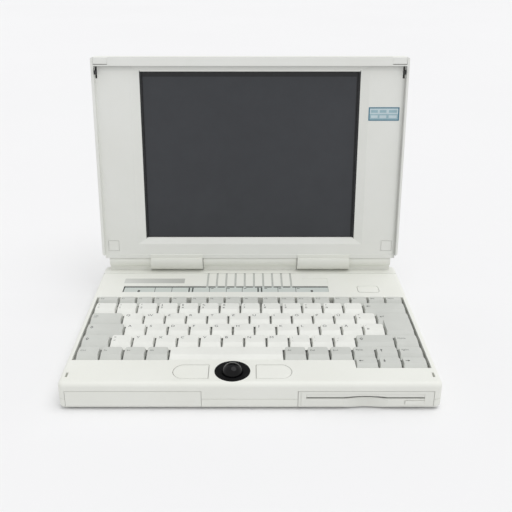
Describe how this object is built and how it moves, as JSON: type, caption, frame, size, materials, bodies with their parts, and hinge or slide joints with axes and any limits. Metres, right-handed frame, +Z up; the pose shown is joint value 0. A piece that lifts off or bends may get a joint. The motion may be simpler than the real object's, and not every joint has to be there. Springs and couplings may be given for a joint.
{
  "type": "notebook computer",
  "caption": "Clamshell notebook computer with a hinged display lid, full keyboard, trackball with two buttons, floppy drive and slide-in battery pack.",
  "frame": {"origin": "on the surface that the notebook stands on, below the middle of the outline of the open notebook", "axes": "+X to the user's right, +Y from the front edge to the hinge, +Z up"},
  "size_m": [0.2994, 0.2294, 0.2387],
  "materials": {
    "casing": "fine grained off-white plastic",
    "lid_casing": "fine grained off-white plastic",
    "white_keys": "fine grained white plastic",
    "grey_keys": "fine grained grey plastic",
    "dark_plastic": "black plastic",
    "gloss_black": "polished black plastic",
    "screen": "dark display surface",
    "sheet_steel": "plain sheet steel",
    "steel": "plated steel",
    "board": "green circuit board",
    "chip": "black moulded chips",
    "rubber": "soft rubber",
    "strip": "grey green indicator window",
    "label": "bare label plate",
    "sticker": "bare two-tone sticker",
    "cell": "sleeved cells",
    "membrane": "clear film"
  },
  "bodies": {
    "base": {"base_bottom_case": "casing", "base_top_case": "casing", "hinge_bar_covers": "casing", "hinge_brackets": "sheet_steel", "rubber_feet": "rubber", "case_screws": "steel", "status_strip": "strip", "label_plates": "label", "keyboard_frame": "dark_plastic", "keyboard_plate": "sheet_steel", "keyboard_membrane": "membrane", "rubber_dome_sheet": "rubber", "main_board": "board", "board_chips": "chip", "hard_drive": "sheet_steel", "speaker": "dark_plastic", "parallel_port": "steel", "serial_port": "steel", "monitor_port": "steel", "round_sockets": "dark_plastic", "floppy_chassis": "sheet_steel", "floppy_bezel": "casing", "trackball_ring": "dark_plastic", "trackball_housing": "dark_plastic", "pointer_switch_boards": "board", "display_cable_base": "dark_plastic"},
    "lid": {"lid_bezel": "lid_casing", "lid_rear_cover": "lid_casing", "display_frame": "sheet_steel", "display_panel": "screen", "inverter_board": "board", "hinge_arms": "steel", "lid_screws": "steel", "screw_covers": "lid_casing", "lid_sticker": "sticker", "display_cable_lid": "dark_plastic"},
    "latch_left": {"latch_left": "lid_casing"},
    "latch_right": {"latch_right": "lid_casing"},
    "keys_function_row": {"keys_function_row": "grey_keys"},
    "keys_number_row": {"keys_number_row": "white_keys"},
    "keys_upper_letters": {"keys_upper_letters": "white_keys"},
    "keys_middle_letters": {"keys_middle_letters": "white_keys"},
    "keys_lower_letters": {"keys_lower_letters": "white_keys"},
    "keys_left_edge": {"keys_left_edge": "grey_keys"},
    "keys_right_edge": {"keys_right_edge": "grey_keys"},
    "key_space_bar": {"key_space_bar": "white_keys"},
    "keys_modifiers": {"keys_modifiers": "grey_keys"},
    "keys_cursor": {"keys_cursor": "grey_keys"},
    "power_button": {"power_button": "casing"},
    "pointer_button_left": {"pointer_button_left": "casing"},
    "pointer_button_right": {"pointer_button_right": "casing"},
    "ball_core": {"ball_core": "dark_plastic"},
    "ball_shell": {"ball_shell": "gloss_black"},
    "roller_fore_aft": {"roller_fore_aft": "steel"},
    "roller_sideways": {"roller_sideways": "steel"},
    "ball_idler": {"ball_idler": "steel"},
    "floppy_eject_button": {"floppy_eject_button": "casing"},
    "floppy_door": {"floppy_door": "casing"},
    "battery": {"battery_case": "casing", "battery_cells": "cell"}
  },
  "joints": [
    {"name": "lid_hinge", "type": "hinge", "parent": "base", "child": "lid", "pos_m": [0, 0.08892, 0.0355], "axis": [1, 0, 0], "range_deg": [-30, 94.4]},
    {"name": "latch_left_slide", "type": "slide", "parent": "lid", "child": "latch_left", "axis": [0, 0.0767, 0.9971], "range_m": [0, 0.0024], "stiffness_N_per_m": 300, "springref_m": -0.002},
    {"name": "latch_right_slide", "type": "slide", "parent": "lid", "child": "latch_right", "axis": [0, 0.0767, 0.9971], "range_m": [0, 0.0024], "stiffness_N_per_m": 300, "springref_m": -0.002},
    {"name": "function_row_press", "type": "slide", "parent": "base", "child": "keys_function_row", "axis": [0, 0, -1], "range_m": [0, 0.0022], "stiffness_N_per_m": 600, "springref_m": -0.001},
    {"name": "number_row_press", "type": "slide", "parent": "base", "child": "keys_number_row", "axis": [0, 0, -1], "range_m": [0, 0.0022], "stiffness_N_per_m": 600, "springref_m": -0.001},
    {"name": "upper_letters_press", "type": "slide", "parent": "base", "child": "keys_upper_letters", "axis": [0, 0, -1], "range_m": [0, 0.0022], "stiffness_N_per_m": 600, "springref_m": -0.001},
    {"name": "middle_letters_press", "type": "slide", "parent": "base", "child": "keys_middle_letters", "axis": [0, 0, -1], "range_m": [0, 0.0022], "stiffness_N_per_m": 600, "springref_m": -0.001},
    {"name": "lower_letters_press", "type": "slide", "parent": "base", "child": "keys_lower_letters", "axis": [0, 0, -1], "range_m": [0, 0.0022], "stiffness_N_per_m": 600, "springref_m": -0.001},
    {"name": "left_edge_press", "type": "slide", "parent": "base", "child": "keys_left_edge", "axis": [0, 0, -1], "range_m": [0, 0.0022], "stiffness_N_per_m": 600, "springref_m": -0.001},
    {"name": "right_edge_press", "type": "slide", "parent": "base", "child": "keys_right_edge", "axis": [0, 0, -1], "range_m": [0, 0.0022], "stiffness_N_per_m": 600, "springref_m": -0.001},
    {"name": "space_bar_press", "type": "slide", "parent": "base", "child": "key_space_bar", "axis": [0, 0, -1], "range_m": [0, 0.0022], "stiffness_N_per_m": 300, "springref_m": -0.001},
    {"name": "modifiers_press", "type": "slide", "parent": "base", "child": "keys_modifiers", "axis": [0, 0, -1], "range_m": [0, 0.0022], "stiffness_N_per_m": 600, "springref_m": -0.001},
    {"name": "cursor_press", "type": "slide", "parent": "base", "child": "keys_cursor", "axis": [0, 0, -1], "range_m": [0, 0.0022], "stiffness_N_per_m": 600, "springref_m": -0.001},
    {"name": "power_press", "type": "slide", "parent": "base", "child": "power_button", "axis": [0, 0, -1], "range_m": [0, 0.0015], "stiffness_N_per_m": 400, "springref_m": -0.001},
    {"name": "pointer_left_press", "type": "slide", "parent": "base", "child": "pointer_button_left", "axis": [0, 0, -1], "range_m": [0, 0.0006], "stiffness_N_per_m": 800, "springref_m": -0.001},
    {"name": "pointer_right_press", "type": "slide", "parent": "base", "child": "pointer_button_right", "axis": [0, 0, -1], "range_m": [0, 0.0006], "stiffness_N_per_m": 800, "springref_m": -0.001},
    {"name": "floppy_eject_press", "type": "slide", "parent": "base", "child": "floppy_eject_button", "axis": [0, 1, 0], "range_m": [0, 0.004], "stiffness_N_per_m": 300, "springref_m": -0.001},
    {"name": "ball_fore_aft", "type": "hinge", "parent": "base", "child": "ball_core", "pos_m": [-0.014, -0.09698, 0.0225], "axis": [1, 0, 0], "continuous": true},
    {"name": "ball_sideways", "type": "hinge", "parent": "ball_core", "child": "ball_shell", "pos_m": [-0.014, -0.09698, 0.0225], "axis": [0, 1, 0], "continuous": true},
    {"name": "roller_fore_aft_spin", "type": "hinge", "parent": "base", "child": "roller_fore_aft", "pos_m": [-0.014, -0.08865, 0.01769], "axis": [1, 0, 0], "continuous": true},
    {"name": "roller_sideways_spin", "type": "hinge", "parent": "base", "child": "roller_sideways", "pos_m": [-0.02233, -0.09698, 0.01769], "axis": [0, 1, 0], "continuous": true},
    {"name": "ball_idler_spin", "type": "hinge", "parent": "base", "child": "ball_idler", "pos_m": [-0.0078, -0.10318, 0.01744], "axis": [0.7071, 0.7071, 0], "continuous": true},
    {"name": "floppy_door_hinge", "type": "hinge", "parent": "base", "child": "floppy_door", "pos_m": [0, -0.11333, 0.01423], "axis": [1, 0, 0], "range_deg": [0, 85], "stiffness_Nm_per_rad": 0.0005, "springref_deg": -28.65},
    {"name": "battery_slide_out", "type": "slide", "parent": "base", "child": "battery", "axis": [0, -1, 0], "range_m": [0, 0.082]}
  ],
  "couplings": [
    {"joint": "roller_fore_aft_spin", "follows": "ball_fore_aft", "ratio": -8.6},
    {"joint": "roller_sideways_spin", "follows": "ball_sideways", "ratio": -8.6},
    {"joint": "ball_idler_spin", "follows": "ball_fore_aft", "ratio": -4.0541}
  ]
}
